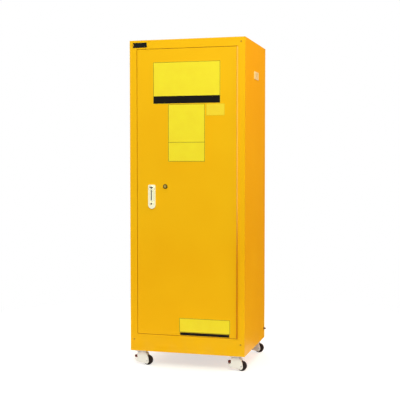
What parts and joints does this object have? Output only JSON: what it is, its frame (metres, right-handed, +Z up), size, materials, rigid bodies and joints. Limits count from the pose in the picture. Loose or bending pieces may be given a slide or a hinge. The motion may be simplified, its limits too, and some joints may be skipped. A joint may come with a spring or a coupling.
{
  "type": "chemical storage cabinet",
  "caption": "Tall double-walled yellow steel cabinet for chemicals: flush hinged door, lift-and-turn handle driving latch rods, key locks, shelves over a sump, hooded casters.",
  "frame": {"origin": "on the floor under the middle of the body", "axes": "+Z up, -Y out of the door's front face, +X towards the hinge side"},
  "size_m": [0.664, 0.5648, 1.8],
  "materials": {
    "yellow_paint": "gloss powder coat",
    "polished_steel": "bright polished stainless sheet",
    "shelf_steel": "satin stainless sheet",
    "zinc_steel": "zinc plated",
    "painted_screws": "painted screw heads",
    "hinge_steel": "painted knuckles, worn pale",
    "handle_chrome": "bright chrome plate",
    "lock_metal": "dull nickel plate",
    "seal_rubber": "soft pale seal",
    "pale_plastic": "moulded, pale",
    "white_plastic": "moulded, white",
    "wheel_rubber": "moulded dark tread",
    "red_plastic": "moulded, dark red"
  },
  "bodies": {
    "cabinet": {"left_side_panel": "yellow_paint", "right_side_panel": "yellow_paint", "rear_panel": "yellow_paint", "top_panel": "yellow_paint", "base_panel": "yellow_paint", "top_rail": "yellow_paint", "bottom_rail": "yellow_paint", "liner_left": "polished_steel", "liner_right": "polished_steel", "liner_rear": "polished_steel", "liner_ceiling": "polished_steel", "liner_sump": "polished_steel", "shelf_uprights": "shelf_steel", "middle_shelf": "shelf_steel", "upper_shelf": "shelf_steel", "shelf_clips": "shelf_steel", "rod_keepers": "zinc_steel", "wall_spacers": "zinc_steel", "floor_bearers": "zinc_steel", "caster_plates": "zinc_steel", "caster_bolts": "zinc_steel", "ground_stud": "zinc_steel", "ground_nuts": "zinc_steel", "frame_screws": "painted_screws", "hinge_frame_leaf": "hinge_steel", "hinge_pin": "hinge_steel", "door_gasket": "seal_rubber", "vent_cover": "pale_plastic", "vent_bung": "pale_plastic"},
    "door": {"door_outer_skin": "yellow_paint", "door_inner_pan": "yellow_paint", "door_stiffeners": "zinc_steel", "lock_cover": "yellow_paint", "lock_cover_screws": "painted_screws", "hinge_door_leaf": "hinge_steel", "handle_housing": "handle_chrome", "round_lock_barrel": "lock_metal", "rod_guides": "zinc_steel"},
    "handle_turner": {"handle_spindle": "handle_chrome", "drive_pinion": "zinc_steel", "lever_pin": "handle_chrome"},
    "lever": {"grip_lever": "handle_chrome"},
    "key_lock": {"key_plug": "lock_metal"},
    "round_lock": {"round_lock_plug": "lock_metal"},
    "upper_latch": {"upper_rod": "zinc_steel"},
    "lower_latch": {"lower_rod": "zinc_steel"},
    "caster_front_left": {"caster_hood_front_left": "white_plastic", "caster_axle_front_left": "zinc_steel"},
    "wheel_front_left": {"caster_wheel_front_left": "wheel_rubber"},
    "caster_front_right": {"caster_hood_front_right": "white_plastic", "caster_axle_front_right": "zinc_steel"},
    "wheel_front_right": {"caster_wheel_front_right": "wheel_rubber"},
    "caster_rear_left": {"caster_hood_rear_left": "white_plastic", "caster_axle_rear_left": "zinc_steel"},
    "wheel_rear_left": {"caster_wheel_rear_left": "wheel_rubber"},
    "caster_rear_right": {"caster_hood_rear_right": "white_plastic", "caster_axle_rear_right": "zinc_steel"},
    "wheel_rear_right": {"caster_wheel_rear_right": "wheel_rubber"},
    "pedal_front_left": {"brake_pedal_front_left": "red_plastic"},
    "pedal_front_right": {"brake_pedal_front_right": "red_plastic"}
  },
  "joints": [
    {"name": "door_hinge", "type": "hinge", "parent": "cabinet", "child": "door", "pos_m": [0.2835, -0.2794, 0.966], "axis": [0, 0, 1], "range_deg": [0, 175]},
    {"name": "handle_turn", "type": "hinge", "parent": "door", "child": "handle_turner", "pos_m": [-0.197, -0.275, 0.99], "axis": [0, 1, 0], "range_deg": [0, 90]},
    {"name": "lever_lift", "type": "hinge", "parent": "handle_turner", "child": "lever", "pos_m": [-0.197, -0.2853, 0.982], "axis": [-1, 0, 0], "range_deg": [0, 35]},
    {"name": "upper_rod_slide", "type": "slide", "parent": "door", "child": "upper_latch", "axis": [0, 0, 1], "range_m": [0, 0.0158]},
    {"name": "lower_rod_slide", "type": "slide", "parent": "door", "child": "lower_latch", "axis": [0, 0, -1], "range_m": [0, 0.0157]},
    {"name": "key_turn", "type": "hinge", "parent": "door", "child": "key_lock", "pos_m": [-0.197, -0.278, 0.9058], "axis": [0, -1, 0], "range_deg": [0, 90]},
    {"name": "round_lock_turn", "type": "hinge", "parent": "door", "child": "round_lock", "pos_m": [-0.121, -0.272, 1.001], "axis": [0, 1, 0], "range_deg": [0, 90]},
    {"name": "caster_swivel_front_left", "type": "hinge", "parent": "cabinet", "child": "caster_front_left", "pos_m": [-0.269, -0.235, 0.07], "axis": [0, 0, 1], "continuous": true},
    {"name": "wheel_spin_front_left", "type": "hinge", "parent": "caster_front_left", "child": "wheel_front_left", "pos_m": [-0.236, -0.235, 0.027], "axis": [0, 1, 0], "continuous": true},
    {"name": "caster_swivel_front_right", "type": "hinge", "parent": "cabinet", "child": "caster_front_right", "pos_m": [0.269, -0.235, 0.07], "axis": [0, 0, 1], "continuous": true},
    {"name": "wheel_spin_front_right", "type": "hinge", "parent": "caster_front_right", "child": "wheel_front_right", "pos_m": [0.302, -0.235, 0.027], "axis": [0, 1, 0], "continuous": true},
    {"name": "caster_swivel_rear_left", "type": "hinge", "parent": "cabinet", "child": "caster_rear_left", "pos_m": [-0.269, 0.235, 0.07], "axis": [0, 0, 1], "continuous": true},
    {"name": "wheel_spin_rear_left", "type": "hinge", "parent": "caster_rear_left", "child": "wheel_rear_left", "pos_m": [-0.236, 0.235, 0.027], "axis": [0, 1, 0], "continuous": true},
    {"name": "caster_swivel_rear_right", "type": "hinge", "parent": "cabinet", "child": "caster_rear_right", "pos_m": [0.269, 0.235, 0.07], "axis": [0, 0, 1], "continuous": true},
    {"name": "wheel_spin_rear_right", "type": "hinge", "parent": "caster_rear_right", "child": "wheel_rear_right", "pos_m": [0.302, 0.235, 0.027], "axis": [0, 1, 0], "continuous": true},
    {"name": "brake_pedal_front_left", "type": "hinge", "parent": "caster_front_left", "child": "pedal_front_left", "pos_m": [-0.288, -0.235, 0.047], "axis": [0, -1, 0], "range_deg": [0, 12]},
    {"name": "brake_pedal_front_right", "type": "hinge", "parent": "caster_front_right", "child": "pedal_front_right", "pos_m": [0.25, -0.235, 0.047], "axis": [0, -1, 0], "range_deg": [0, 12]}
  ],
  "couplings": [
    {"joint": "handle_turn", "follows": "lower_rod_slide", "rad_per_m": 100},
    {"joint": "upper_rod_slide", "follows": "lower_rod_slide", "ratio": 1}
  ]
}
